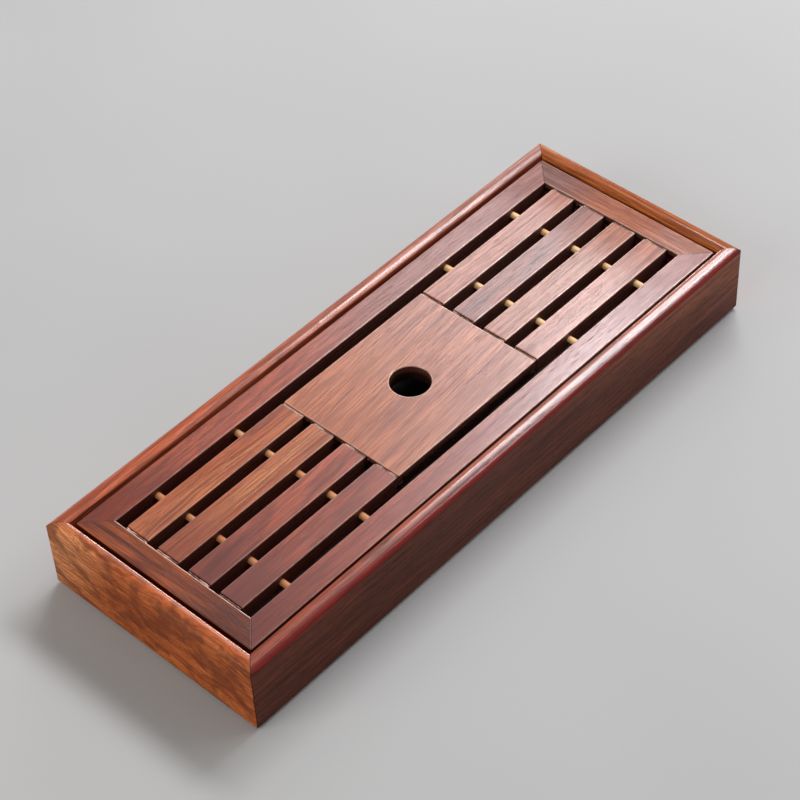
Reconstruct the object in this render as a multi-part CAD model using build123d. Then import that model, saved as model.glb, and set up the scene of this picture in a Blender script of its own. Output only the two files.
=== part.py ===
from build123d import *

import os
from math import radians, sqrt, tan

# Gongfu tea tray: a mitred hardwood box, a slatted grille that lifts out of its top, and a water
# tray under the grille that catches what is poured over the cups.
# Frame: +X along the tray's length, +Y from the front wall to the back wall, +Z up.
# Origin: centre of the footprint, on the surface that the feet stand on. All sizes in millimetres.
# The grille sets the size of everything round it: slats and board set its opening, the opening
# and the rails set its outline, and its outline and the clearances set the box.

# Slats
slat_count = 4
slat_width = 15.8
slat_length = 114.8
slat_gap = 7.0
slat_ease = 0.5
shadow_gap = 1.7

# Tongues on the slats' ends, and the grooves that take them
tongue_thickness = 4.0
tongue_length = 3.5
groove_spare = 0.5
glue_line = 0.05

# Centre board and its finger hole
board_length = 111.4
board_ease = 0.5
finger_hole_diameter = 23.4
finger_hole_ease = 0.6

# Frame of the grille
grille_thickness = 11.0
rail_width = 14.5
rail_ease = 0.6
side_gap = 7.4

# Bamboo dowels through the slats and into the long rails
dowel_diameter = 4.0
dowel_inset = 27.8
dowel_seat = 8.0

# Loose tenons in the frame's mitres
frame_key_thickness = 3.0
frame_key_width = 7.0
frame_key_length = 8.4

# Walls of the box
wall_thickness = 9.0
crown_inner_run = 3.2
crown_inner_drop = 1.8
crown_outer_drop = 3.2
wall_foot_radius = 2.0
arris_radius = 0.8
grille_side_clearance = 2.0
grille_end_clearance = 2.6
grille_recess = 2.0

# Bottom panel in its groove
panel_thickness = 5.0
panel_rise = 2.0
panel_entry = 3.5
panel_groove_spare = 0.5

# Loose splines in the box's mitres
corner_key_thickness = 2.5
corner_key_width = 8.0
corner_key_end_margin = 3.0
corner_key_setback = 5.0

# Chamber between the bottom panel and the grille, and the strips that carry the grille
chamber_height = 27.0
bearer_width = 9.0
bearer_ease = 0.8

# Feet
foot_diameter = 12.0
foot_proud = 1.0
foot_margin = 12.0
foot_ease = 0.4

# Water tray
tray_wall = 1.8
tray_clearance = 1.5
tray_headroom = 2.0
tray_rim_width = 4.0
tray_rim_ease = 0.6
tray_corner_radius = 12.0
tray_draft = 4.0
tray_floor_radius = 3.0

# How far a cutting solid runs past the face that it opens
overrun = 1.0

# Sizes that follow: the grille
slat_pitch = slat_width + slat_gap
board_width = slat_count * slat_width + (slat_count - 1) * slat_gap
opening_width = board_width + 2 * side_gap
opening_length = board_length + 2 * (slat_length + 2 * shadow_gap)
grille_width = opening_width + 2 * rail_width
grille_length = opening_length + 2 * rail_width
groove_depth = tongue_length + groove_spare
groove_height = tongue_thickness + 2 * glue_line
slat_centre_x = board_length / 2 + shadow_gap + slat_length / 2

# Sizes that follow: the box
inner_width = grille_width + 2 * grille_side_clearance
inner_length = grille_length + 2 * grille_end_clearance
box_width = inner_width + 2 * wall_thickness
box_length = inner_length + 2 * wall_thickness

# Heights, from the surface upwards
wall_bottom = foot_proud
panel_bottom = wall_bottom + panel_rise
panel_top = panel_bottom + panel_thickness
grille_bottom = panel_top + chamber_height
grille_middle = grille_bottom + grille_thickness / 2
grille_top = grille_bottom + grille_thickness
wall_top = grille_top + grille_recess
wall_height = wall_top - wall_bottom

# The four ways round: each side's name, its turn about Z, and half the distance across
QUARTER_TURN = 90
BOX_SIDES = {
    "front": (0, box_length, box_width / 2),
    "right": (QUARTER_TURN, box_width, box_length / 2),
    "back": (2 * QUARTER_TURN, box_length, box_width / 2),
    "left": (-QUARTER_TURN, box_width, box_length / 2),
}
GRILLE_SIDES = {
    "front": (0, grille_length, grille_width / 2),
    "right": (QUARTER_TURN, grille_width, grille_length / 2),
    "back": (2 * QUARTER_TURN, grille_length, grille_width / 2),
    "left": (-QUARTER_TURN, grille_width, grille_length / 2),
}
CORNERS = {
    "front_left": (-1, -1),
    "front_right": (1, -1),
    "back_right": (1, 1),
    "back_left": (-1, 1),
}


def mitred_stick(profile, length, width, height, ease):
    """A stick along X with its outer face on y = 0 and both ends cut back at 45 degrees, with the
    corner that each mitre makes eased. The profile is drawn in the YZ plane, the stick's width deep."""
    bar = extrude(Plane.YZ * profile, amount=length / 2, both=True)
    half = length / 2
    shoulder = half - ease
    corner = ease * (1 - 1 / sqrt(2))
    eighth = QUARTER_TURN / 2
    plan = make_face(
        [
            Line((-shoulder, 0), (shoulder, 0)),
            CenterArc((shoulder, ease), ease, -QUARTER_TURN, eighth),
            Line((half - corner, corner), (half - width, width)),
            Line((half - width, width), (width - half, width)),
            Line((width - half, width), (corner - half, corner)),
            CenterArc((-shoulder, ease), ease, -QUARTER_TURN - eighth, eighth),
        ]
    )
    return bar & extrude(plan, amount=height)


def placed_round(stick, side, base):
    """Puts a mitred stick on its side of a rectangle, outer face outwards."""
    turn, _, reach = side
    return Rot(0, 0, turn) * Pos(0, -reach, base) * stick


def wall_profile():
    """Section of a box wall, outer face at 0: a crowned top, steeper inside, over the panel's groove."""
    depth = panel_entry + panel_groove_spare
    low = panel_rise - glue_line
    high = panel_rise + panel_thickness + glue_line
    t = wall_thickness
    h = wall_height
    r_foot = wall_foot_radius
    apex = t - crown_inner_run
    inner_crown = EllipticalCenterArc(
        (apex, h - crown_inner_drop), crown_inner_run, crown_inner_drop, 0, arc_size=QUARTER_TURN
    )
    outer_crown = EllipticalCenterArc(
        (apex, h - crown_outer_drop), apex, crown_outer_drop, QUARTER_TURN, arc_size=QUARTER_TURN
    )
    return make_face(
        [
            Line((r_foot, 0), (t, 0)),
            Line((t, 0), (t, low)),
            Line((t, low), (t - depth, low)),
            Line((t - depth, low), (t - depth, high)),
            Line((t - depth, high), (t, high)),
            Line((t, high), (t, h - crown_inner_drop)),
            inner_crown,
            outer_crown,
            Line((0, h - crown_outer_drop), (0, r_foot)),
            CenterArc((r_foot, r_foot), r_foot, 2 * QUARTER_TURN, QUARTER_TURN),
        ]
    )


def corner_key(spare):
    """Spline across one mitre of the box, upright, with its slot's spare on every face."""
    low = panel_top + corner_key_end_margin
    high = wall_top - crown_outer_drop - corner_key_end_margin
    return Pos(0, 0, (low + high) / 2) * Box(
        corner_key_width + 2 * spare,
        corner_key_thickness + 2 * spare,
        high - low + 2 * spare,
    )


def at_box_corner(shape, corner):
    """Moves a spline to its mitre, on the line from the inner corner to the outer one."""
    sx, sy = corner
    setback = corner_key_setback / sqrt(2)
    x = sx * (inner_length / 2 + setback)
    y = sy * (inner_width / 2 + setback)
    return Pos(x, y, 0) * Rot(0, 0, -sx * sy * QUARTER_TURN / 2) * shape


def box_walls():
    """The four mitred walls, with the vertical corners eased and the spline slots cut."""
    profile = wall_profile()
    walls = {}
    for name, side in BOX_SIDES.items():
        stick = mitred_stick(profile, side[1], wall_thickness, wall_height, arris_radius)
        wall = placed_round(stick, side, wall_bottom)
        for corner_name, corner in CORNERS.items():
            if name in corner_name:
                wall -= at_box_corner(corner_key(glue_line), corner)
        walls[name] = wall
    return walls


def bottom_panel():
    length = inner_length + 2 * panel_entry
    width = inner_width + 2 * panel_entry
    return Pos(0, 0, panel_bottom + panel_thickness / 2) * Box(length, width, panel_thickness)


def bearer():
    """Strip on the panel against an end wall, eased along its upper inner edge."""
    strip = Box(bearer_width, inner_width, chamber_height)
    strip = fillet(strip.edges().filter_by(Axis.Y).sort_by(Axis.Z)[-2:].sort_by(Axis.X)[0], bearer_ease)
    x = inner_length / 2 - bearer_width / 2
    return Pos(x, 0, panel_top + chamber_height / 2) * strip


def foot():
    height = panel_bottom
    pad = Cylinder(foot_diameter / 2, height)
    pad = fillet(pad.edges().group_by(Axis.Z)[0], foot_ease)
    return Pos(0, 0, height / 2) * pad


def foot_place(corner):
    sx, sy = corner
    return Pos(sx * (inner_length / 2 - foot_margin), sy * (inner_width / 2 - foot_margin), 0)


def frame_key(spare):
    """Loose tenon across one mitre of the grille's frame, lying flat."""
    return Box(
        frame_key_length + 2 * spare,
        frame_key_width + 2 * spare,
        frame_key_thickness + 2 * spare,
    )


def at_frame_corner(shape, corner):
    sx, sy = corner
    x = sx * (grille_length / 2 - rail_width / 2)
    y = sy * (grille_width / 2 - rail_width / 2)
    return Pos(x, y, grille_middle) * Rot(0, 0, -sx * sy * QUARTER_TURN / 2) * shape


def dowel_xs(group):
    """Where a group's two dowels lie along X. The group is -1 on the left and 1 on the right."""
    reach = slat_length / 2 - dowel_inset
    return [group * slat_centre_x - reach, group * slat_centre_x + reach]


def dowel_at(x, radius, length):
    return Pos(x, 0, grille_middle) * Rot(QUARTER_TURN, 0, 0) * Cylinder(radius, length)


def dowel_drillings(group):
    """The two round cuts that a group's dowels need through slats and into the long rails."""
    length = opening_width + 2 * (dowel_seat + glue_line)
    return [dowel_at(x, dowel_diameter / 2 + glue_line, length) for x in dowel_xs(group)]


def frame_rails():
    """The four mitred rails: dowel seats in the long ones, tongue grooves in the short ones."""
    section = Pos(rail_width / 2, grille_thickness / 2) * RectangleRounded(
        rail_width, grille_thickness, rail_ease
    )
    groove = Box(groove_depth + overrun, opening_width, groove_height)
    rails = {}
    for name, side in GRILLE_SIDES.items():
        stick = mitred_stick(section, side[1], rail_width, grille_thickness, rail_ease)
        rail = placed_round(stick, side, grille_bottom)
        for corner_name, corner in CORNERS.items():
            if name in corner_name:
                rail -= at_frame_corner(frame_key(glue_line), corner)
        if name in ("front", "back"):
            for group in (-1, 1):
                for drilling in dowel_drillings(group):
                    rail -= drilling
        else:
            end = 1 if name == "right" else -1
            x = end * (opening_length / 2 + (groove_depth - overrun) / 2)
            rail -= Pos(x, 0, grille_middle) * groove
        rails[name] = rail
    return rails


def slat(group, place):
    """One slat with a tongue at each end. Place 0 is the slat nearest the front rail."""
    body = fillet(Box(slat_length, slat_width, grille_thickness).edges(), slat_ease)
    reach = slat_length + 2 * (shadow_gap + tongue_length)
    body += Box(reach, slat_width - 2 * slat_ease, tongue_thickness)
    y = (place - (slat_count - 1) / 2) * slat_pitch
    body = Pos(group * slat_centre_x, y, grille_middle) * body
    for drilling in dowel_drillings(group):
        body -= drilling
    return body


def centre_board():
    board = fillet(Box(board_length, board_width, grille_thickness).edges(), board_ease)
    groove = Box(groove_depth + overrun, board_width + 2 * overrun, groove_height)
    for end in (-1, 1):
        board -= Pos(end * (board_length / 2 - (groove_depth - overrun) / 2), 0, 0) * groove
    board -= Cylinder(finger_hole_diameter / 2, grille_thickness + 2 * overrun)
    rims = board.edges().filter_by(GeomType.CIRCLE)
    rims = rims.filter_by(lambda e: abs(e.radius - finger_hole_diameter / 2) < glue_line)
    board = fillet(rims, finger_hole_ease)
    return Pos(0, 0, grille_middle) * board


def tray_section(inset, height):
    """The tray's rounded outline, drawn in from the rim's outer edge, at a height above its base."""
    length = inner_length - 2 * (bearer_width + tray_clearance + inset)
    width = inner_width - 2 * (tray_clearance + inset)
    return Pos(0, 0, height) * RectangleRounded(length, width, tray_corner_radius - inset)


def water_tray():
    """Moulded basin with drafted sides and a flat rim that turns outwards."""
    height = chamber_height - tray_headroom
    lean = height * tan(radians(tray_draft))
    rim_overhang = tray_rim_width - tray_wall
    shell = loft([tray_section(rim_overhang + lean, 0), tray_section(rim_overhang, height)], ruled=True)
    shell = fillet(shell.faces().sort_by(Axis.Z)[0].edges(), tray_floor_radius)
    rim = extrude(tray_section(0, height - tray_wall), amount=tray_wall)
    rim = fillet(rim.edges().filter_by(lambda e: abs(e.center().Z - height) < glue_line), tray_rim_ease)
    foot_lean = (height - tray_wall) * tan(radians(tray_draft))
    hollow = loft(
        [tray_section(tray_rim_width + foot_lean, tray_wall), tray_section(tray_rim_width, height)],
        ruled=True,
    )
    hollow = fillet(hollow.faces().sort_by(Axis.Z)[0].edges(), tray_floor_radius - tray_wall / 2)
    hollow += extrude(tray_section(tray_rim_width, height), amount=overrun)
    return Pos(0, 0, panel_top) * (shell + rim - hollow)


def all_nodes():
    """Every piece of the tray, by the name of its node."""
    nodes = {}
    wall_names = {"front": "front_wall", "back": "back_wall", "left": "left_end_wall", "right": "right_end_wall"}
    for name, wall in box_walls().items():
        nodes[wall_names[name]] = wall
    nodes["bottom_panel"] = bottom_panel()
    nodes["left_bearer"] = Rot(0, 0, 2 * QUARTER_TURN) * bearer()
    nodes["right_bearer"] = bearer()
    for name, corner in CORNERS.items():
        nodes["corner_key_" + name] = at_box_corner(corner_key(0), corner)
        nodes["foot_" + name] = foot_place(corner) * foot()
        nodes["frame_key_" + name] = at_frame_corner(frame_key(0), corner)
    for name, rail in frame_rails().items():
        nodes[name + "_rail"] = rail
    for group, group_name in ((-1, "left"), (1, "right")):
        for place in range(slat_count):
            nodes[f"{group_name}_slat_{place + 1}"] = slat(group, place)
        for number, x in enumerate(dowel_xs(group)):
            length = opening_width + 2 * dowel_seat
            nodes[f"{group_name}_dowel_{number + 1}"] = dowel_at(x, dowel_diameter / 2, length)
    nodes["centre_board"] = centre_board()
    nodes["water_tray"] = water_tray()
    return nodes


os.makedirs("parts", exist_ok=True)
for node_name, shape in all_nodes().items():
    export_step(shape, f"parts/{node_name}.step")
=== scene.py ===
from math import pi, radians, sqrt

import bpy
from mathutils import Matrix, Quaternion, Vector


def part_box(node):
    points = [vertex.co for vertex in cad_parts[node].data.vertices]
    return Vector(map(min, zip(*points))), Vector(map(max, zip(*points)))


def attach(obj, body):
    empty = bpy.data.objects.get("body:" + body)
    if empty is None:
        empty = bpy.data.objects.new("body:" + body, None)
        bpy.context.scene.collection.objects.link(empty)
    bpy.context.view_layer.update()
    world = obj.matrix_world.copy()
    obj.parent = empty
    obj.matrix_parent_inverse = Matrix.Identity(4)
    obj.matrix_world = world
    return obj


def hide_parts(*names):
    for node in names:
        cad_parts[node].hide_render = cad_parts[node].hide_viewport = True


# Looks of a gongfu tea tray: rosewood boards, bamboo rods, rubber pads and a plastic water tray.
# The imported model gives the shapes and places. This script gives grain, lacquer, light and camera,
# and makes the rods, the pads and the dried glue anew with their fine surface.
# Lengths are written in millimetres and turned into metres by mm().

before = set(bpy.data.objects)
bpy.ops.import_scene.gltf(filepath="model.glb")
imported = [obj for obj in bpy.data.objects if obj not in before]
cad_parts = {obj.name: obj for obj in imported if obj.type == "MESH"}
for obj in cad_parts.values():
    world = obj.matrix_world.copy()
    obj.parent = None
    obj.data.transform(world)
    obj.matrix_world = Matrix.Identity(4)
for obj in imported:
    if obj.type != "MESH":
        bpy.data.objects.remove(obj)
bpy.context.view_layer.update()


def mm(*lengths):
    """Millimetres as metres: one number, or a vector of three."""
    metres = [length / 1000 for length in lengths]
    return metres[0] if len(metres) == 1 else Vector(metres)


def tone(red, green, blue):
    """A colour read off a screen, from 0 to 255, as Blender's linear colour."""
    linear = []
    for part in (red, green, blue):
        value = part / 255
        linear.append(value / 12.92 if value <= 0.04045 else ((value + 0.055) / 1.055) ** 2.4)
    return (*linear, 1.0)


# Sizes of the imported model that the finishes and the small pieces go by
FRONT_WALL_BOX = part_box("front_wall")
FRONT_RAIL_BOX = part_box("front_rail")
BOX_CORNER = (FRONT_WALL_BOX[1].x, -FRONT_WALL_BOX[0].y)
GRILLE_CORNER = (FRONT_RAIL_BOX[1].x, -FRONT_RAIL_BOX[0].y)
WALL_TOP = FRONT_WALL_BOX[1].z
GRILLE_TOP = FRONT_RAIL_BOX[1].z
GRILLE_BOTTOM = FRONT_RAIL_BOX[0].z
GRILLE_MIDDLE = (GRILLE_TOP + GRILLE_BOTTOM) / 2


# Shader nodes


class Shading:
    """One material's nodes, each added by a short call that returns the output to use next."""

    def __init__(self, name):
        self.material = bpy.data.materials.new(name)
        self.material.use_nodes = True
        self.tree = self.material.node_tree
        self.surface = self.tree.nodes["Principled BSDF"]

    def put(self, socket, value):
        if isinstance(value, bpy.types.NodeSocket):
            self.tree.links.new(value, socket)
        else:
            socket.default_value = value

    def node(self, kind, **settings):
        made = self.tree.nodes.new(kind)
        for name, value in settings.items():
            setattr(made, name, value)
        return made

    def place(self):
        return self.node("ShaderNodeTexCoord").outputs["Object"]

    def mapped(self, vector, location=(0, 0, 0), turn=(0, 0, 0), scale=(1, 1, 1), kind="POINT"):
        made = self.node("ShaderNodeMapping", vector_type=kind)
        self.put(made.inputs["Vector"], vector)
        made.inputs["Location"].default_value = location
        made.inputs["Rotation"].default_value = turn
        made.inputs["Scale"].default_value = scale
        return made.outputs["Vector"]

    def math(self, operation, first, second=0.0, third=0.0, clamp=False):
        made = self.node("ShaderNodeMath", operation=operation, use_clamp=clamp)
        for socket, value in zip(made.inputs, (first, second, third)):
            self.put(socket, value)
        return made.outputs["Value"]

    def vector(self, operation, first, second=(0, 0, 0)):
        made = self.node("ShaderNodeVectorMath", operation=operation)
        self.put(made.inputs[0], first)
        self.put(made.inputs[1], second)
        return made.outputs["Value" if operation in ("LENGTH", "DOT_PRODUCT") else "Vector"]

    def parts(self, vector):
        made = self.node("ShaderNodeSeparateXYZ")
        self.put(made.inputs[0], vector)
        return made.outputs

    def joined(self, x, y, z=0.0):
        made = self.node("ShaderNodeCombineXYZ")
        for socket, value in zip(made.inputs, (x, y, z)):
            self.put(socket, value)
        return made.outputs["Vector"]

    def noise(self, vector, detail=2.0, roughness=0.5, scale=1.0, output="Fac", dimensions="3D"):
        made = self.node("ShaderNodeTexNoise", noise_dimensions=dimensions)
        self.put(made.inputs["Vector"], vector)
        made.inputs["Scale"].default_value = scale
        made.inputs["Detail"].default_value = detail
        made.inputs["Roughness"].default_value = roughness
        return made.outputs[output]

    def spread(self, value, low, high, to_low=0.0, to_high=1.0):
        """The value's range from low to high, smoothly stretched to the new range."""
        made = self.node("ShaderNodeMapRange", interpolation_type="SMOOTHSTEP")
        for name, given in (("Value", value), ("From Min", low), ("From Max", high),
                            ("To Min", to_low), ("To Max", to_high)):
            self.put(made.inputs[name], given)
        return made.outputs["Result"]

    def fade(self, value, edge, insets, to_low=0.0, to_high=1.0):
        """Spreads a value between two insets, in millimetres back from an edge."""
        return self.spread(value, edge - mm(insets[0]), edge - mm(insets[1]), to_low, to_high)

    def mix(self, share, first, second):
        made = self.node("ShaderNodeMix", data_type="RGBA")
        self.put(made.inputs["Factor"], share)
        self.put(made.inputs[6], first)
        self.put(made.inputs[7], second)
        return made.outputs[2]

    def bump(self, height, depth, strength=1.0):
        made = self.node("ShaderNodeBump")
        made.inputs["Strength"].default_value = strength
        made.inputs["Distance"].default_value = depth
        self.put(made.inputs["Height"], height)
        return made.outputs["Normal"]

    def finish(self, color, roughness, normal=None, **constants):
        self.put(self.surface.inputs["Base Color"], color)
        self.put(self.surface.inputs["Roughness"], roughness)
        if normal is not None:
            self.put(self.surface.inputs["Normal"], normal)
        for name, value in constants.items():
            self.surface.inputs[name.replace("_", " ")].default_value = value
        return self.material


# Rosewood

ALONG_X = 0.0
ALONG_Y = pi / 2
ALL_SIDES = ("left", "right", "front", "back")
FINGER_HOLE_RADIUS = mm(11.7)

# Ways along a board: onward is +X, or +Y on a board that lies crosswise
ONWARD = (1, 0, 0)
BACKWARD = (-1, 0, 0)

# Tones that all the boards share. The pale edge tone is partly wear and partly a painted
# highlight; the side tones and the hole's tone are painted shade.
WORN_EDGE_HIGHLIGHT = tone(246, 208, 190)
UPPER_SIDE_SHADE = tone(58, 22, 14)
DEEP_SIDE_SHADE = tone(74, 28, 19)
HOLE_SHADE = tone(20, 9, 6)
GLUE_LINE = tone(32, 14, 9)

# Fades across a wall, in millimetres inward from its outer face
INNER_FACE = (8.9, 8.4)
INNER_SLOPE = (5.6, 2.6)
OUTER_SLOPE = (3.4, 1.9)

# Fades down a wall, in millimetres below its top
CROWN_DEPTH = (3.2, 2.2)
OUTER_SLOPE_DEPTH = (4.0, 2.6)
LACQUER_DEPTH = (1.5, 0.8)
OILED_DEPTH = (2.4, 1.2)

# Fades down a piece of the grille, in millimetres below its top, for the painted shade on its
# sides and down its hole
SIDE_DEPTH = (1.0, 0.5)
RED_DEPTH = (3.0, 0.8)
HOLE_SHADE_DEPTH = (6.0, 2.5)

# Fibres and pores per metre along, across and down a board
FIBRE_DENSITY = (34, 950, 950)
PORE_DENSITY = (140, 2600, 2600)

# How far each part of the figure darkens the wood
FIBRE_SHARE = 0.42
PORE_SHARE = 0.5

# How much lacquer the open grain drinks on a wall and on the grille, and how deep the grain lies
WALL_THIRST = 0.25
GRILLE_THIRST = 0.55
WALL_RELIEF = 0.3
GRILLE_RELIEF = 0.7
GRAIN_DEPTH = mm(0.03)
MITRE_HALF_WIDTH = mm(0.28)


def mitre_line(shade, place, corner):
    """1 on the hairline where two mitred sticks meet, for outer corners at (x, y) on all four
    sides."""
    x, y, _ = shade.parts(shade.vector("ABSOLUTE", place))
    across = shade.math("SUBTRACT", shade.math("SUBTRACT", x, y), corner[0] - corner[1])
    distance = shade.math("DIVIDE", shade.math("ABSOLUTE", across), sqrt(2))
    return shade.spread(distance, MITRE_HALF_WIDTH * 0.4, MITRE_HALF_WIDTH, 1.0, 0.0)


def worn_and_highlit_edges(shade, place, outline, edges, hole):
    """1 along a piece's upper edges, and round its hole: partly wear, where cups and hands have
    worn the stain thin, and partly a painted highlight where the edges catch the light, which is
    weaker towards the left. Edges names the sides of the outline that have one."""
    low, high = outline
    x, y, _ = shade.parts(place)
    ways = {"left": (x, low.x), "right": (high.x, x), "front": (y, low.y), "back": (high.y, y)}
    inset = mm(100)
    for side in edges:
        inset = shade.math("MINIMUM", inset, shade.math("SUBTRACT", *ways[side]))
    if hole:
        from_hole = shade.math("SUBTRACT", shade.vector("LENGTH", shade.joined(x, y)), hole)
        inset = shade.math("MINIMUM", inset, from_hole)
    rub_and_highlight = shade.spread(shade.noise(place, scale=260.0, detail=2.0), 0.3, 0.6, 0.45, 1.0)
    # Painted highlight: the pale edges are weaker towards the left, where less light falls.
    rub_and_highlight = shade.math("MULTIPLY", rub_and_highlight, shade.spread(x, mm(-150), mm(60), 0.3, 1.0))
    return shade.math("MULTIPLY", rub_and_highlight, shade.spread(inset, mm(0.45), mm(0.85), 1.0, 0.0))


def share_along(shade, board, direction, ends):
    """From 0 to 1 in a direction on the board, between two ends in millimetres."""
    return shade.spread(shade.vector("DOT_PRODUCT", board, direction), mm(ends[0]), mm(ends[1]))


def log_figure(shade, board, seed, pith, rings, lines, warp, stretch):
    """Bands and lines round the log's heart, bent by a slow wander, with fibres and pores along
    them. Gives the bent place on the board and the parts of the figure."""
    wander = shade.noise(
        shade.mapped(board, location=(seed * 1.7, seed * 3.1, seed * 5.3),
                     scale=(stretch[0], stretch[1], stretch[1])),
        detail=2.5, roughness=0.45, output="Color",
    )
    wander = shade.vector("SUBTRACT", wander, (0.5, 0.5, 0.5))
    wander = shade.vector("MULTIPLY", wander, (0.0, mm(warp) * 2, mm(warp) * 2))
    bent = shade.vector("ADD", board, wander)
    from_pith = shade.vector("SUBTRACT", bent, (0.0, mm(pith[0]), mm(pith[1])))
    radius = shade.vector("LENGTH", shade.vector("MULTIPLY", from_pith, (0.0, 1.0, 1.0)))
    along = shade.parts(board)[0]

    def round_heart(width, shift, changes, detail, roughness):
        """Noise over the radius that changes slowly along the board."""
        spot = shade.joined(shade.math("MULTIPLY_ADD", radius, 1000 / width, shift),
                            shade.math("MULTIPLY", along, changes))
        return shade.noise(spot, detail=detail, roughness=roughness, dimensions="2D")

    broad = round_heart(rings, seed * 7.7, 4.0, detail=2.0, roughness=0.5)
    fine = round_heart(lines, seed * 2.9, 9.0, detail=4.0, roughness=0.7)
    fibres = shade.noise(shade.mapped(bent, location=(seed, seed * 2, seed), scale=FIBRE_DENSITY),
                         detail=2.0, roughness=0.65)
    pores = shade.noise(shade.mapped(bent, location=(seed, seed, seed), scale=PORE_DENSITY),
                        detail=1.0, roughness=0.6)
    return bent, {
        "fine": fine, "fibres": fibres,
        "band": shade.spread(broad, 0.34, 0.66), "vein": shade.spread(fine, 0.48, 0.60),
        "fibre": shade.spread(fibres, 0.44, 0.58), "pore": shade.spread(pores, 0.58, 0.68),
    }


def smoke_patches(shade, bent, seed, share, size, turn):
    """Smoky patches in the wood, of a size in millimetres and a turn in degrees."""
    patches = shade.mapped(bent, location=mm(seed * 13, seed * 17, seed * 19),
                           turn=tuple(radians(angle) for angle in turn),
                           scale=tuple(mm(length) for length in size), kind="TEXTURE")
    smoke = shade.noise(patches, detail=2.5, roughness=0.55)
    return shade.spread(smoke, 0.45, 0.62, 0.0, share)


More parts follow.
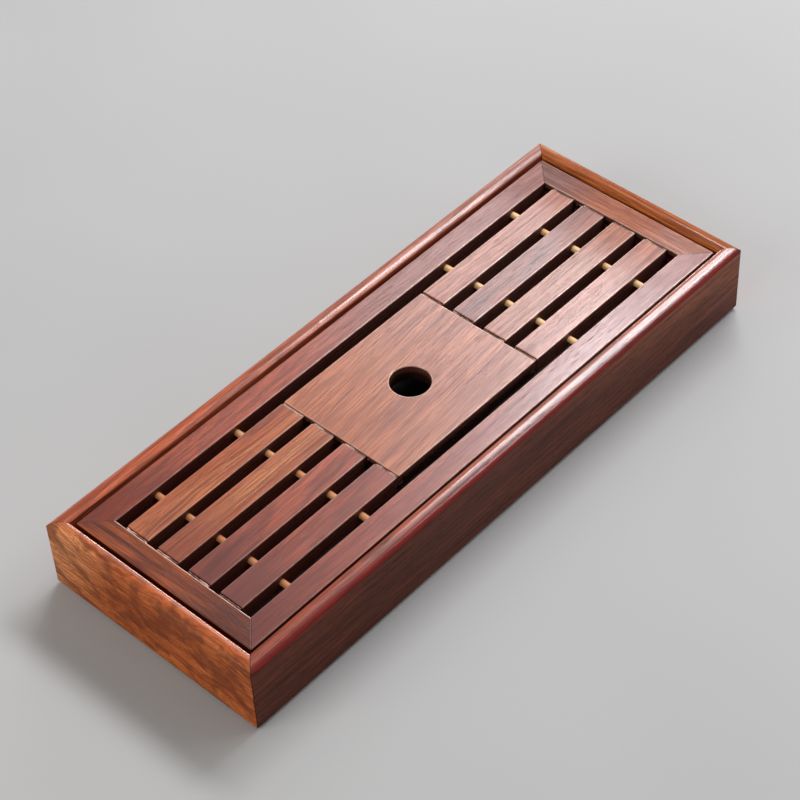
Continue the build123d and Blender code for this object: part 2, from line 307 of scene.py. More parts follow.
def rosewood(name, outline, grain, dark, body, light, seed, pith=(4, -60), lean=(0, 0), rings=7.0,
             lines=1.3, line_share=0.6, warp=3.0, stretch=(9, 40), drift=None, veil=None,
             cloud=None, mitre=None, gloss=0.85, shine=0.4, dull=None, crowned=False, rim=None,
             inside=None, lining=None, hole=None, worn_highlight=0.5, edges=ALL_SIDES):
    """Lacquered rosewood cut from a log whose heart runs along the board at pith, in millimetres
    across and down, leaning by two angles in degrees. Rings and lines are the widths of the broad
    bands and of the fine lines, warp is how far they wander, and stretch how often, per metre along
    and across. A drift is a direction, its two ends in millimetres and the tone that the board
    takes on towards it. A veil is the same, laid over a wall's crown alone or over a whole board
    of the grille. A cloud is a tone, its share, and the size and turn of its patches. Gloss is the
    lacquer and shine the wood's own, and dull is a direction with its two ends, along which a
    board has lost its lacquer. A crowned wall is lacquered along its top and only oil-finished on
    its faces: rim is the tone of the crown's outer slope, inside the tone and share of its inner
    slope, and lining the tone of the wall's inner face. The grille's pieces have pale upper edges,
    partly wear and partly a painted highlight; below them their sides are painted dark with the
    shade in the gaps between the slats, and their hole is painted dark with the shade down it."""
    shade = Shading(name)
    place = shade.place()
    height = shade.parts(place)[2]
    turn = (radians(lean[1]), radians(lean[0]), grain)
    board = shade.mapped(place, location=(outline[0] + outline[1]) / 2, turn=turn, kind="TEXTURE")
    bent, figure = log_figure(shade, board, seed, pith, rings, lines, warp, stretch)
    vein, fibre, pore = figure["vein"], figure["fibre"], figure["pore"]

    color = shade.mix(figure["band"], light, body)
    if drift:
        *way, tint = drift
        color = shade.mix(share_along(shade, board, *way), color, tint)
    if cloud:
        tint, *patches = cloud
        color = shade.mix(smoke_patches(shade, bent, seed, *patches), color, tint)
    crown = 1.0
    if crowned:
        side = 1 if grain == ALONG_X else 0
        across = shade.parts(shade.vector("ABSOLUTE", place))[side]
        face = BOX_CORNER[side]
        crown = shade.math("MULTIPLY", shade.fade(height, WALL_TOP, CROWN_DEPTH),
                           shade.fade(across, face, INNER_FACE))
    if inside:
        tint, share = inside
        inner = shade.fade(across, face, INNER_SLOPE, share, 0.0)
        color = shade.mix(shade.math("MULTIPLY", inner, crown), color, tint)
    if veil:
        *way, tint = veil
        color = shade.mix(shade.math("MULTIPLY", share_along(shade, board, *way), crown),
                          color, tint)
    if lining:
        color = shade.mix(shade.fade(across, face, INNER_FACE, 0.9, 0.0), color, lining)
    if rim:
        slope = shade.math("MULTIPLY", shade.fade(across, face, OUTER_SLOPE),
                           shade.fade(height, WALL_TOP, OUTER_SLOPE_DEPTH))
        color = shade.mix(shade.math("MULTIPLY", slope, 0.95), color, rim)
        line_share = shade.math("MULTIPLY_ADD", slope, -0.6 * line_share, line_share)
    for part, share in ((vein, line_share), (fibre, FIBRE_SHARE), (pore, PORE_SHARE)):
        color = shade.mix(shade.math("MULTIPLY", part, share), color, dark)

    hollow = shade.math("MULTIPLY_ADD", pore, -1.0, shade.math("MULTIPLY", figure["fibres"], 0.5))
    rough = shade.math("MULTIPLY_ADD", pore, 0.14,
                       shade.spread(figure["fine"], 0.3, 0.7, 0.24, 0.30))
    open_grain = shade.math("MULTIPLY_ADD", fibre, 0.5, shade.math("MULTIPLY_ADD", vein, 0.3, pore))
    thirst = WALL_THIRST if crowned else GRILLE_THIRST
    lacquer = shade.math("MULTIPLY_ADD", open_grain, -thirst * gloss, gloss, clamp=True)
    if dull:
        worn = share_along(shade, board, *dull)
        lacquer = shade.math("MULTIPLY", lacquer, shade.math("MULTIPLY_ADD", worn, -0.75, 1.0))
        rough = shade.math("MULTIPLY_ADD", worn, 0.15, rough)
    if crowned:
        lacquer = shade.math("MULTIPLY", lacquer, shade.fade(height, WALL_TOP, LACQUER_DEPTH))
        rough = shade.math("ADD", rough, shade.fade(height, WALL_TOP, OILED_DEPTH, 0.35, 0.0))
    else:
        # Pale upper edges: partly wear and partly a painted highlight.
        edge = worn_and_highlit_edges(shade, place, outline, edges, hole)
        color = shade.mix(shade.math("MULTIPLY", edge, worn_highlight), color, WORN_EDGE_HIGHLIGHT)
        # Painted shade: below their tops the sides are darkened for the shade in the gaps between
        # the slats.
        below = shade.fade(height, GRILLE_TOP, SIDE_DEPTH, 1.0, 0.0)
        deep = shade.fade(height, GRILLE_TOP, RED_DEPTH, 1.0, 0.0)
        side_shade = shade.mix(deep, UPPER_SIDE_SHADE, DEEP_SIDE_SHADE)
        color = shade.mix(shade.math("MULTIPLY", below, 0.92), color, side_shade)
        lacquer = shade.math("MULTIPLY", lacquer, shade.math("MULTIPLY_ADD", below, -0.9, 1.0))
    if hole:
        # Painted shade: the hole's wall is darkened for the shade down it.
        color = shade.mix(shade.fade(height, GRILLE_TOP, HOLE_SHADE_DEPTH, 0.85, 0.0), color, HOLE_SHADE)
    if mitre:
        line = mitre_line(shade, place, mitre)
        color = shade.mix(shade.math("MULTIPLY", line, 0.75), color, GLUE_LINE)
        rough = shade.math("MULTIPLY_ADD", line, 0.3, rough)
        hollow = shade.math("SUBTRACT", hollow, shade.math("MULTIPLY", line, 2.0))
    normal = shade.bump(hollow, GRAIN_DEPTH, WALL_RELIEF if crowned else GRILLE_RELIEF)
    shade.put(shade.surface.inputs["Coat Weight"], lacquer)
    return shade.finish(color, rough, normal, Coat_Roughness=0.17, IOR=1.5,
                        Specular_IOR_Level=shine)


wall = dict(mitre=BOX_CORNER, crowned=True)
rail = dict(mitre=GRILLE_CORNER)
left_slat = dict(grain=ALONG_X, dull=(BACKWARD, (0, 55)))
right_slat = dict(grain=ALONG_X, gloss=0.95)
boards = {
    "front_wall": dict(
        wall, grain=ALONG_X, seed=3, pith=(-20, -120), lean=(0, 2), rings=12, lines=2.4,
        line_share=0.35, dark=tone(46, 18, 10), body=tone(96, 46, 30), light=tone(108, 53, 36),
        # The rim tone is painted shade: the crown's outer slope is painted a dark red where it turns
        # away from the light.
        rim=tone(132, 14, 0), inside=(tone(184, 100, 74), 0.95),
        drift=((1, 0, 5), (60, 260), tone(148, 84, 58)),
        veil=(BACKWARD, (20, 160), tone(152, 70, 46)),
        gloss=0.7, shine=0.28, dull=(BACKWARD, (20, 150))),
    "back_wall": dict(
        wall, grain=ALONG_X, seed=8, pith=(60, -90), rings=8, lines=1.8, line_share=0.5,
        dark=tone(96, 34, 18), body=tone(166, 76, 46), light=tone(186, 92, 58),
        rim=tone(182, 96, 74), inside=(tone(204, 104, 62), 0.85),
        # The veil is a painted sheen: the crown turns a paler pinkish grey towards the right, where
        # the light's reflection falls on it.
        veil=(ONWARD, (-120, 120), tone(196, 134, 114)),
        gloss=0.5, shine=0.3, dull=(ONWARD, (80, 260))),
    "left_end_wall": dict(
        wall, grain=ALONG_Y, seed=5, pith=(10, -70), lean=(0, 6), rings=9, lines=2.0,
        line_share=0.5, warp=4.5, stretch=(42, 46),
        cloud=(tone(88, 44, 30), 0.62, (17, 17, 10), (0, -18, 0)),
        dark=tone(108, 44, 20), body=tone(176, 88, 42), light=tone(202, 112, 56),
        inside=(tone(204, 110, 66), 0.75), drift=((1, 0, 0.5), (25, 70), tone(224, 146, 92)),
        gloss=0.65, shine=0.15),
    "right_end_wall": dict(
        wall, grain=ALONG_Y, seed=11, pith=(50, -70), rings=7, lines=1.8, line_share=0.5,
        dark=tone(108, 44, 18), body=tone(178, 88, 42), light=tone(204, 114, 58),
        rim=tone(152, 88, 46), inside=(tone(162, 94, 54), 0.85), lining=tone(255, 150, 80),
        gloss=0.6, shine=0.02, dull=(ONWARD, (-60, -15))),
    "front_rail": dict(
        rail, grain=ALONG_X, seed=13, pith=(-90, -60), rings=6, lines=1.2, line_share=0.4,
        dark=tone(84, 28, 18), body=tone(144, 62, 42), light=tone(160, 76, 50),
        edges=("front", "back"), veil=(BACKWARD, (100, 180), tone(112, 46, 30)),
        gloss=0.95, dull=(BACKWARD, (100, 180))),
    "back_rail": dict(
        rail, grain=ALONG_X, seed=17, pith=(40, -40), rings=7, lines=1.5, line_share=0.3, warp=5,
        dark=tone(90, 36, 27), body=tone(164, 78, 56), light=tone(178, 92, 66),
        edges=("front",), worn_highlight=0.35, cloud=(tone(104, 62, 58), 0.3, (34, 9, 20), (0, 0, 25)),
        drift=(BACKWARD, (100, 180), tone(132, 56, 32)),
        veil=(ONWARD, (-40, 60), tone(146, 82, 66)),
        gloss=0.75, dull=(ONWARD, (125, 175))),
    "left_rail": dict(
        rail, grain=ALONG_Y, seed=19, pith=(80, -50), rings=6, lines=1.4, line_share=0.5,
        dark=tone(50, 20, 12), body=tone(108, 50, 32), light=tone(128, 64, 40),
        edges=("right",), worn_highlight=2.2, cloud=(tone(78, 34, 30), 0.5, (60, 9, 20), (0, 0, 6)),
        drift=(ONWARD, (-45, 0), tone(168, 84, 42)), gloss=0.35),
    "right_rail": dict(
        rail, grain=ALONG_Y, seed=23, pith=(70, -40), rings=6, lines=1.4, line_share=0.45,
        dark=tone(84, 32, 14), body=tone(154, 78, 40), light=tone(172, 92, 48),
        edges=("left", "right"), worn_highlight=0.35, drift=(ONWARD, (5, 50), tone(126, 82, 72)),
        gloss=0.75, shine=0.15, dull=(ONWARD, (-50, -12))),
    "left_slat_4": dict(
        left_slat, seed=29, pith=(3, -16), lean=(0, 9), rings=5, lines=1.1, line_share=0.55, warp=4,
        dark=tone(96, 36, 14), body=tone(176, 92, 52), light=tone(198, 120, 72), gloss=0.6),
    "left_slat_3": dict(
        left_slat, seed=31, pith=(60, -60), rings=5, lines=1.0, line_share=0.6,
        dark=tone(98, 38, 16), body=tone(180, 96, 56), light=tone(202, 124, 76),
        drift=(BACKWARD, (0, 45), tone(150, 74, 44)), gloss=0.7),
    "left_slat_2": dict(
        left_slat, grain=radians(4), seed=37, pith=(-50, -50), rings=6, lines=1.4, line_share=0.45,
        dark=tone(80, 30, 18), body=tone(170, 80, 52), light=tone(186, 94, 64),
        cloud=(tone(88, 36, 34), 0.5, (50, 7, 20), (0, 0, 8)),
        drift=(BACKWARD, (0, 45), tone(124, 54, 38))),
    "left_slat_1": dict(
        left_slat, seed=41, pith=(80, -60), rings=6, lines=1.3, line_share=0.35,
        dark=tone(80, 34, 24), body=tone(152, 70, 48), light=tone(166, 82, 58),
        cloud=(tone(96, 44, 42), 0.4, (60, 8, 20), (0, 0, 2)),
        drift=(BACKWARD, (0, 45), tone(118, 54, 40))),
    "right_slat_4": dict(
        right_slat, seed=43, pith=(70, -60), rings=5, lines=1.1, line_share=0.45,
        dark=tone(98, 42, 26), body=tone(168, 96, 68), light=tone(186, 114, 84),
        dull=(ONWARD, (30, 55))),
    "right_slat_3": dict(
        right_slat, seed=47, pith=(-60, -50), rings=8, lines=1.6, line_share=0.3,
        dark=tone(74, 34, 24), body=tone(148, 80, 60), light=tone(166, 94, 72),
        cloud=(tone(84, 48, 46), 0.5, (45, 8, 20), (0, 0, 4)), dull=(ONWARD, (15, 50))),
    "right_slat_2": dict(
        right_slat, seed=53, pith=(50, -50), rings=6, lines=1.3, line_share=0.4,
        dark=tone(94, 42, 24), body=tone(160, 90, 58), light=tone(178, 106, 68),
        drift=(ONWARD, (5, 45), tone(170, 86, 40)), dull=(ONWARD, (20, 50))),
    "right_slat_1": dict(
        right_slat, seed=59, pith=(-80, -60), rings=5, lines=1.1, line_share=0.5,
        dark=tone(98, 44, 28), body=tone(166, 92, 64), light=tone(184, 108, 76),
        dull=(ONWARD, (15, 55))),
    "centre_board": dict(
        grain=radians(5), seed=61, pith=(-110, -70), rings=5, lines=0.9, line_share=0.45, warp=2.2,
        dark=tone(96, 42, 26), body=tone(172, 98, 66), light=tone(192, 116, 78),
        hole=FINGER_HOLE_RADIUS, cloud=(tone(140, 80, 66), 0.3, (40, 7, 20), (0, 0, 0)),
        drift=((-0.5, 0.87, 0), (-10, 45), tone(194, 112, 68)), gloss=1.0),
}


def middle_of(node):
    """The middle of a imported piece."""
    low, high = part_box(node)
    return (low + high) / 2


def dress(node, material):
    """Gives a carried-over piece its finish."""
    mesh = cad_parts[node].data
    mesh.materials.clear()
    mesh.materials.append(material)


for node, looks in boards.items():
    dress(node, rosewood(node + "_rosewood", outline=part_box(node), **looks))


# The other finishes


def bare_wood(name, dark, light, seed, grain=ALONG_X):
    """Plain sanded wood for the hidden pieces of the box."""
    shade = Shading(name)
    board = shade.mapped(shade.place(), location=(seed, seed, seed), turn=(0, 0, grain),
                         scale=(8, 160, 160))
    figure = shade.noise(board, detail=4.0, roughness=0.6)
    fibre = shade.noise(shade.mapped(board, scale=(12, 12, 12)), detail=1.0)
    color = shade.mix(shade.spread(figure, 0.3, 0.7), dark, light)
    color = shade.mix(shade.spread(fibre, 0.55, 0.72, 0.0, 0.35), color, dark)
    rough = shade.spread(fibre, 0.3, 0.7, 0.5, 0.62)
    return shade.finish(color, rough, shade.bump(fibre, mm(0.04), 0.5))


def bamboo():
    """Bamboo skewer stock: pale straw with darker fibres along it, and painted shade that turns it
    browner towards the left.
    """
    shade = Shading("bamboo_fibre")
    along_rod = shade.mapped(shade.place(), scale=(1500, 60, 1500))
    fibre = shade.noise(along_rod, detail=2.0, roughness=0.6)
    blush = shade.noise(shade.mapped(shade.place(), scale=(60, 40, 60)), detail=1.0)
    color = shade.mix(shade.spread(blush, 0.35, 0.65), tone(255, 214, 158), tone(246, 184, 124))
    # Painted shade: the rods turn darker and browner towards the left.
    shade_to_left = shade.spread(shade.parts(shade.place())[0], mm(-140), mm(20), 0.9, 0.0)
    color = shade.mix(shade_to_left, color, tone(190, 116, 74))
    color = shade.mix(shade.spread(fibre, 0.52, 0.70, 0.0, 0.55), color, tone(196, 128, 70))
    rough = shade.spread(fibre, 0.3, 0.7, 0.38, 0.52)
    return shade.finish(color, rough, shade.bump(fibre, mm(0.05), 0.6))


def tray_plastic():
    """Moulded plastic with a fine spark-eroded texture and faint dried water marks."""
    shade = Shading("black_tray_plastic")
    place = shade.place()
    grit = shade.noise(place, scale=2200.0, detail=1.0)
    marks = shade.noise(place, scale=45.0, detail=3.0, roughness=0.6)
    color = shade.mix(shade.spread(marks, 0.55, 0.75, 0.0, 0.6), tone(22, 22, 21), tone(40, 38, 35))
    rough = shade.math("MULTIPLY_ADD", marks, 0.18, shade.spread(grit, 0.3, 0.7, 0.30, 0.38))
    return shade.finish(color, rough, shade.bump(grit, mm(0.02), 0.5), IOR=1.49)


def pad_rubber():
    """Matte rubber, dusty where it has picked up lint."""
    shade = Shading("pad_rubber")
    place = shade.place()
    grain = shade.noise(place, scale=1800.0, detail=2.0)
    dust = shade.noise(place, scale=160.0, detail=3.0)
    color = shade.mix(shade.spread(dust, 0.5, 0.75, 0.0, 0.5), tone(34, 33, 32), tone(78, 75, 70))
    rough = shade.spread(dust, 0.3, 0.7, 0.72, 0.86)
    return shade.finish(color, rough, shade.bump(grain, mm(0.04), 0.6))


def dried_glue():
    """Wood glue that was squeezed out of a joint and has dried to a pale amber."""
    shade = Shading("dried_glue")
    place = shade.place()
    age = shade.noise(place, scale=900.0, detail=2.0)
    stain = shade.noise(place, scale=70.0, detail=1.0)
    color = shade.mix(shade.spread(age, 0.35, 0.65), tone(216, 184, 170), tone(176, 134, 116))
    color = shade.mix(shade.spread(stain, 0.46, 0.56), color, tone(104, 66, 52))
    return shade.finish(color, shade.spread(age, 0.3, 0.7, 0.25, 0.4),
                        shade.bump(age, mm(0.03), 0.4))


panel_finish = bare_wood("panel_wood", tone(84, 48, 28), tone(132, 82, 50), 2)
spline_finish = bare_wood("spline_wood", tone(128, 86, 52), tone(176, 128, 84), 6, ALONG_Y)
plastic_finish = tray_plastic()
rubber_finish = pad_rubber()
bamboo_finish = bamboo()
glue_finish = dried_glue()
for node in ("bottom_panel", "left_bearer", "right_bearer"):
    dress(node, panel_finish)
for corner in ("front_left", "front_right", "back_right", "back_left"):
    dress("corner_key_" + corner, spline_finish)
    dress("frame_key_" + corner, spline_finish)
dress("water_tray", plastic_finish)


# Small pieces made with Geometry Nodes


class Jig:
    """A Geometry Nodes tree that makes a set of small pieces. Its sizes are named inputs."""

    def __init__(self, name):
        self.name = name
        self.tree = bpy.data.node_groups.new(name + "_jig", "GeometryNodeTree")
        self.tree.interface.new_socket("Geometry", in_out="OUTPUT",
                                       socket_type="NodeSocketGeometry")
        self.entry = self.tree.nodes.new("NodeGroupInput")
        self.values = {}

    def size(self, name, value, kind="Float"):
        """A named input of the tree, with the value that the piece is made with."""
        socket = self.tree.interface.new_socket(name, in_out="INPUT",
                                                socket_type="NodeSocket" + kind)
        self.values[socket.identifier] = value
        return self.entry.outputs[name]

    def node(self, kind, given=None, **settings):
        """Adds a node. Given holds what goes into its inputs, by name or by number."""
        made = self.tree.nodes.new(kind)
        for name, value in settings.items():
            setattr(made, name, value)
        for key, value in (given or {}).items():
            if isinstance(value, bpy.types.NodeSocket):
                self.tree.links.new(value, made.inputs[key])
            else:
                made.inputs[key].default_value = value
        return made.outputs

    def math(self, operation, first, second=0.0, third=0.0):
        return self.node("ShaderNodeMath", {0: first, 1: second, 2: third}, operation=operation)[0]

    def vector(self, operation, first, second=(0, 0, 0)):
        return self.node("ShaderNodeVectorMath", {0: first, 1: second},
                         operation=operation)["Vector"]

    def minus(self, value):
        return self.math("MULTIPLY", value, -1.0)

    def joined(self, x=0.0, y=0.0, z=0.0):
        return self.node("ShaderNodeCombineXYZ", {0: x, 1: y, 2: z})[0]

    def drawn(self, low, high, seed):
        """A random number from low to high for each point."""
        return self.node("FunctionNodeRandomValue", {2: low, 3: high, "Seed": seed})[1]

    def row(self, start, step, count):
        """Points in a row, to set pieces on."""
        return self.node("GeometryNodeMeshLine",
                         {"Start Location": start, "Offset": step, "Count": count})[0]

    def bar(self, half_length, stations, radius, sides):
        """A closed round bar along Y, with its middle at the origin."""
        spine = self.node("GeometryNodeCurvePrimitiveLine",
                          {"Start": self.joined(y=self.minus(half_length)),
                           "End": self.joined(y=half_length)})[0]
        spine = self.node("GeometryNodeResampleCurve", {"Curve": spine, "Count": stations})[0]
        ring = self.node("GeometryNodeCurvePrimitiveCircle",
                         {"Resolution": sides, "Radius": radius})[0]
        return self.node("GeometryNodeCurveToMesh",
                         {"Curve": spine, "Profile Curve": ring, "Fill Caps": True})[0]

    def copies(self, points, shape, **more):
        """A copy of the shape on each point."""
        return self.node("GeometryNodeInstanceOnPoints",
                         {"Points": points, "Instance": shape, **more})[0]

    def together(self, *shapes):
        made = self.tree.nodes.new("GeometryNodeJoinGeometry")
        for shape in shapes:
            self.tree.links.new(shape, made.inputs[0])
        return made.outputs[0]

    def share_of_curve(self, station, shares):
        """Looks a share up along an even row of them."""
        made = self.tree.nodes.new("ShaderNodeFloatCurve")
        points = made.mapping.curves[0].points
        for place, share in enumerate(shares[1:-1], start=1):
            points.new(place / (len(shares) - 1), share)
        points[0].location = (0, shares[0])
        points[-1].location = (1, shares[-1])
        for point in points:
            point.handle_type = "VECTOR"
        made.mapping.update()
        self.tree.links.new(station, made.inputs["Value"])
        return made.outputs[0]

    def piece(self, shape, material):
        """Ends the tree, sets its sizes and turns what it makes into one plain mesh."""
        shape = self.node("GeometryNodeRealizeInstances", {"Geometry": shape})[0]
        shape = self.node("GeometryNodeSetMaterial", {"Geometry": shape, "Material": material})[0]
        self.tree.links.new(shape, self.tree.nodes.new("NodeGroupOutput").inputs[0])
        made = bpy.data.objects.new(self.name, bpy.data.meshes.new(self.name + "_blank"))
        bpy.context.scene.collection.objects.link(made)
        modifier = made.modifiers.new("jig", "NODES")
        modifier.node_group = self.tree
        for identifier, value in self.values.items():
            modifier[identifier] = value
        ready = bpy.context.evaluated_depsgraph_get()
        mesh = bpy.data.meshes.new_from_object(made.evaluated_get(ready), depsgraph=ready)
        made.modifiers.remove(modifier)
        made.data = mesh
        return made


def bamboo_rods():
    """The four rods that thread the slats: split bamboo, turned but still ridged by its fibres."""
    low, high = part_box("left_dowel_1")
    places = sorted(middle_of(f"{group}_dowel_{number}").x
                    for group in ("left", "right") for number in "12")
    jig = Jig("bamboo_rods")
    length = jig.size("Rod length", high.y - low.y)
    radius = jig.size("Rod radius", (high.z - low.z) / 2)
    ridge = jig.size("Ridge depth", mm(0.12))
    outer = jig.size("Outer rods from the middle", places[3])
    inner = jig.size("Inner rods from the middle", places[2])
    level = jig.size("Height of the rods", (high.z + low.z) / 2)
    seed = jig.size("Seed", 4, "Int")
    rod = jig.bar(jig.math("MULTIPLY", length, 0.5), 60, radius, 32)
    place = jig.node("GeometryNodeInputPosition")[0]
    fibre = jig.node("ShaderNodeTexNoise",
                     {"Vector": jig.vector("MULTIPLY", place, (700, 25, 700)),
                      "Scale": 1.0, "Detail": 2.0})[0]
    outward = jig.vector("NORMALIZE", jig.vector("MULTIPLY", place, (1, 0, 1)))
    depth = jig.minus(jig.math("MULTIPLY", fibre, ridge))
    sunk = jig.node("ShaderNodeVectorMath", {0: outward, "Scale": depth}, operation="SCALE")[0]
    rod = jig.node("GeometryNodeSetPosition", {"Geometry": rod, "Offset": sunk})[0]
    places = jig.together(*(
        jig.row(jig.joined(jig.minus(reach), 0.0, level),
                jig.joined(jig.math("MULTIPLY", reach, 2.0)), 2)
        for reach in (outer, inner)
    ))
    turned = jig.joined(y=jig.drawn(0.0, 2 * pi, seed))
    made = jig.piece(jig.copies(places, rod, Rotation=turned), bamboo_finish)
    made.data.shade_smooth()
    return made


def rubber_pads():
    """Four pressed rubber pads: a round rim, two rings that grip the table, and a dished middle."""
    low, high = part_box("foot_front_left")
    centre = middle_of("foot_back_right")
    jig = Jig("rubber_pads")
    radius = jig.size("Pad radius", (high.x - low.x) / 2)
    height = jig.size("Pad height", high.z - low.z)
    reach_x = jig.size("Pads from the middle, lengthwise", centre.x)
    reach_y = jig.size("Pads from the middle, crosswise", centre.y)
    # The pad's section from the middle of its foot, out, and back to the middle of its top
    # as shares of its radius and its height
    across, up = zip(
        (0, 0.16), (0.28, 0.16), (0.36, 0.13), (0.43, 0.02), (0.47, 0), (0.60, 0), (0.64, 0.02),
        (0.68, 0.1), (0.74, 0.1), (0.78, 0.02), (0.82, 0), (0.90, 0), (0.96, 0.02), (0.99, 0.06),
        (1, 0.12), (1, 0.92), (0.99, 0.98), (0.97, 1), (0, 1),
    )
    sheet = jig.node("GeometryNodeMeshGrid",
                     {"Size X": 1.0, "Size Y": 1.0, "Vertices X": 65, "Vertices Y": len(across)})[0]
    x, y, _ = jig.node("ShaderNodeSeparateXYZ", {0: jig.node("GeometryNodeInputPosition")[0]})
    turn = jig.math("MULTIPLY", x, 2 * pi)
    station = jig.math("ADD", y, 0.5)
    reach = jig.math("MULTIPLY", jig.share_of_curve(station, across), radius)
    level = jig.math("MULTIPLY", jig.share_of_curve(station, up), height)
    wrapped = jig.joined(jig.math("MULTIPLY", reach, jig.math("COSINE", turn)),
                         jig.math("MULTIPLY", reach, jig.math("SINE", turn)), level)
    pad = jig.node("GeometryNodeSetPosition", {"Geometry": sheet, "Position": wrapped})[0]
    pad = jig.node("GeometryNodeMergeByDistance", {"Geometry": pad, "Distance": mm(0.005)})[0]
    back = jig.minus(reach_x)
    rows = (jig.row(jig.joined(back, side), jig.joined(jig.math("MULTIPLY", reach_x, 2.0)), 2)
            for side in (reach_y, jig.minus(reach_y)))
    made = jig.piece(jig.copies(jig.together(*rows), pad), rubber_finish)
    made.data.shade_smooth()
    return made


def dried_glue_lines():
    """Glue along the slats' end joints: a line in each shadow gap, and beads beside it."""
    jig = Jig("dried_glue_lines")
    shy_of_slat_sides = mm(1.2)
    line_below_top = mm(1.3)
    bead_above_middle = mm(2.2)
    line_radius_of_gap = 0.42
    beads_tried = 70
    board_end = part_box("centre_board")[1].x
    rail_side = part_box("right_rail")[0].x
    slat_low, slat_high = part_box("left_slat_1")
    board_joint = jig.size("Joint at the board", board_end)
    rail_joint = jig.size("Joint at the short rails", rail_side)
    pitch = jig.size("Slat pitch", middle_of("left_slat_2").y - middle_of("left_slat_1").y)
    first = jig.size("First slat from the middle", middle_of("left_slat_1").y)
    width = jig.size("Length of a line", slat_high.y - slat_low.y - shy_of_slat_sides)
    gap = jig.size("Shadow gap", mm(1.7))
    line_level = jig.size("Height of the lines", GRILLE_TOP - line_below_top)
    bead_level = jig.size("Height of the beads", GRILLE_MIDDLE + bead_above_middle)
    bead = jig.size("Bead radius", mm(0.42))
    kept = jig.size("Share of beads left after wiping", 0.25)
    seed = jig.size("Seed", 7, "Int")

    joints = []
    for joint, inward in ((board_joint, 0.5), (rail_joint, -0.5)):
        middle = jig.math("MULTIPLY_ADD", gap, inward, joint)
        joints += [middle, jig.minus(middle)]
    seats = jig.together(*(jig.row(jig.joined(x, first, line_level), jig.joined(y=pitch), 4)
                           for x in joints))
    half = jig.math("MULTIPLY", width, 0.5)
    line = jig.bar(half, 26, jig.math("MULTIPLY", gap, line_radius_of_gap), 10)
    lines = jig.node("GeometryNodeRealizeInstances", {"Geometry": jig.copies(seats, line)})[0]
    place = jig.node("GeometryNodeInputPosition")[0]
    sag = jig.node("ShaderNodeTexNoise", {"Vector": place, "Scale": 420.0, "Detail": 1.0})["Color"]
    sag = jig.vector("MULTIPLY", jig.vector("SUBTRACT", sag, (0.5, 0.5, 0.5)), mm(0.5, 0.0, 1.6))
    lines = jig.node("GeometryNodeSetPosition", {"Geometry": lines, "Offset": sag})[0]

    reach = jig.math("ABSOLUTE", jig.math("SUBTRACT", first, half))
    step = jig.joined(y=jig.math("MULTIPLY", reach, 2.0 / (beads_tried - 1)))
    back = jig.minus(reach)
    runs = []
    for joint in (board_joint, rail_joint):
        for side in (1.0, -1.0):
            start = jig.joined(jig.math("MULTIPLY", joint, side), back, bead_level)
            runs.append(jig.row(start, step, beads_tried))
    points = jig.node("GeometryNodeMeshToPoints", {"Mesh": jig.together(*runs)})[0]
    wiped = jig.math("GREATER_THAN", jig.drawn(0.0, 1.0, seed), kept)
    points = jig.node("GeometryNodeDeleteGeometry", {"Geometry": points, "Selection": wiped},
                      domain="POINT")[0]
    strayed = jig.joined(0.0, jig.drawn(mm(-0.5), mm(0.5), jig.math("ADD", seed, 1.0)),
                         jig.drawn(mm(-0.5), mm(0.7), jig.math("ADD", seed, 2.0)))
    points = jig.node("GeometryNodeSetPosition", {"Geometry": points, "Offset": strayed})[0]
    drop = jig.node("GeometryNodeMeshUVSphere", {"Segments": 10, "Rings": 6, "Radius": bead})[0]
    grown = jig.joined(jig.drawn(0.4, 0.9, jig.math("ADD", seed, 3.0)),
                       jig.drawn(0.7, 2.2, jig.math("ADD", seed, 4.0)),
                       jig.drawn(0.5, 1.1, jig.math("ADD", seed, 5.0)))
    drops = jig.copies(points, drop, Scale=grown)
    made = jig.piece(jig.together(lines, drops), glue_finish)
    made.data.shade_smooth()
    return made


rods = bamboo_rods()
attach(rods, "grille")
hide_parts("left_dowel_1", "left_dowel_2", "right_dowel_1", "right_dowel_2")
pads = rubber_pads()
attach(pads, "box")
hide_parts("foot_front_left", "foot_front_right", "foot_back_right", "foot_back_left")
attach(dried_glue_lines(), "grille")


# Floor, light and camera


WHITE = (1, 1, 1)
WINDOW_WHITE = (0.97, 0.96, 1.0)
LAMP_WHITE = (1.0, 0.97, 0.93)


def soft_box(name, toward, distance, size, power, color=WHITE):
    """A rectangular studio lamp that faces the tray from an azimuth and elevation in degrees."""
    azimuth, elevation = (radians(angle) for angle in toward)
    lamp = bpy.data.lights.new(name, "AREA")
    lamp.shape = "RECTANGLE"
    lamp.size, lamp.size_y = size
    lamp.energy = power
    lamp.color = color
    held = bpy.data.objects.new(name, lamp)
    bpy.context.scene.collection.objects.link(held)
    away = Quaternion((0, 0, 1), azimuth) @ Quaternion((0, 1, 0), -elevation) @ Vector((1, 0, 0))
    held.location = away * distance
    held.rotation_mode = "QUATERNION"
    held.rotation_quaternion = (-away).to_track_quat("-Z", "Y")


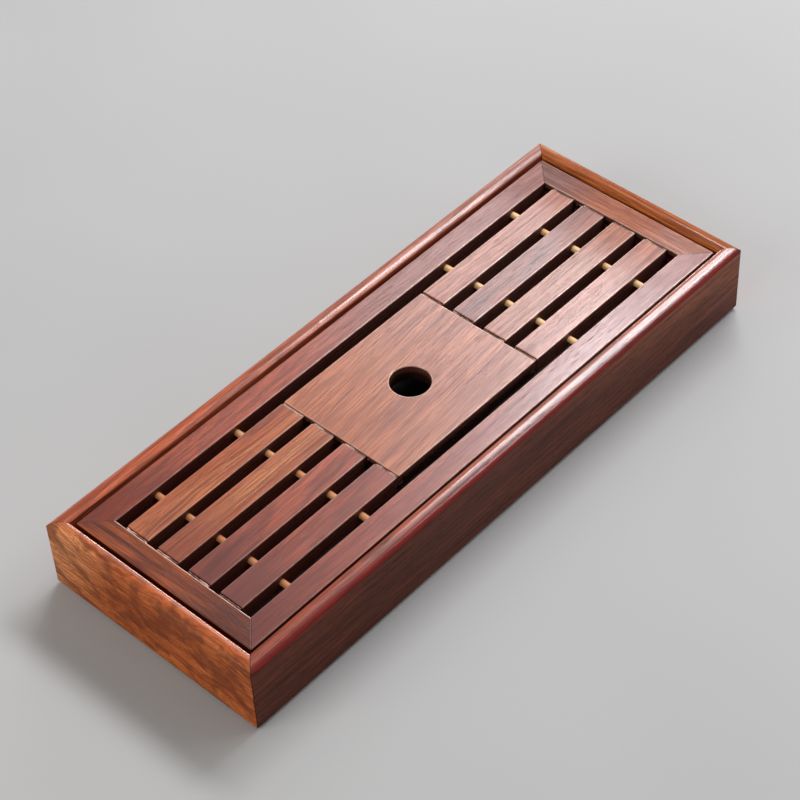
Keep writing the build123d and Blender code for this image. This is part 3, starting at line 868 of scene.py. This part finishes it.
def floor_and_world():
    """A plain pale floor under the tray and a faint even light all round it."""
    half = 6.0
    mesh = bpy.data.meshes.new("studio_floor")
    corners = [(-half, -half, 0), (half, -half, 0), (half, half, 0), (-half, half, 0)]
    mesh.from_pydata(corners, [], [(0, 1, 2, 3)])
    floor = bpy.data.objects.new("studio_floor", mesh)
    bpy.context.scene.collection.objects.link(floor)
    shade = Shading("pale_floor")
    mottle = shade.noise(shade.place(), scale=3.0, detail=2.0)
    color = shade.mix(shade.spread(mottle, 0.3, 0.7), tone(178, 178, 176), tone(183, 183, 181))
    mesh.materials.append(shade.finish(color, shade.spread(mottle, 0.3, 0.7, 0.85, 0.9)))
    world = bpy.data.worlds.new("studio_air")
    world.use_nodes = True
    air = world.node_tree.nodes["Background"]
    air.inputs["Color"].default_value = (0.95, 0.97, 1.0, 1.0)
    air.inputs["Strength"].default_value = 0.25
    bpy.context.scene.world = world


def photograph_camera():
    """Stands where the photograph was taken: place, aim, roll and lens from the tray's corners."""
    camera = bpy.data.cameras.new("photograph_camera")
    camera.sensor_width = 36.0
    camera.lens = 105.61
    camera.clip_start = 0.05
    camera.clip_end = 30.0
    held = bpy.data.objects.new("photograph_camera", camera)
    bpy.context.scene.collection.objects.link(held)
    stand = mm(-644.23, -626.14, 958.58)
    aim = mm(-3.22, 5.55, 30.0)
    roll = Quaternion((0, 0, 1), radians(-3.30))
    held.location = stand
    held.rotation_mode = "QUATERNION"
    held.rotation_quaternion = (aim - stand).to_track_quat("-Z", "Y") @ roll
    bpy.context.scene.camera = held


floor_and_world()
photograph_camera()
soft_box("key_strip", toward=(14, 52), distance=2.4, size=(1.3, 0.5), power=38.5,
         color=WINDOW_WHITE)
soft_box("side_pane", toward=(-24, 50), distance=2.4, size=(1.5, 0.45), power=14,
         color=WINDOW_WHITE)
soft_box("window_pane", toward=(40, 38), distance=2.4, size=(0.6, 0.6), power=4.5,
         color=WINDOW_WHITE)
soft_box("low_window", toward=(38, 6), distance=3.0, size=(1.2, 0.36), power=24)
soft_box("left_fill", toward=(172, 30), distance=2.0, size=(1.6, 1.2), power=17, color=LAMP_WHITE)
soft_box("front_fill", toward=(-60, 20), distance=2.6, size=(1.6, 1.0), power=6)
bpy.context.scene.view_settings.view_transform = "Standard"
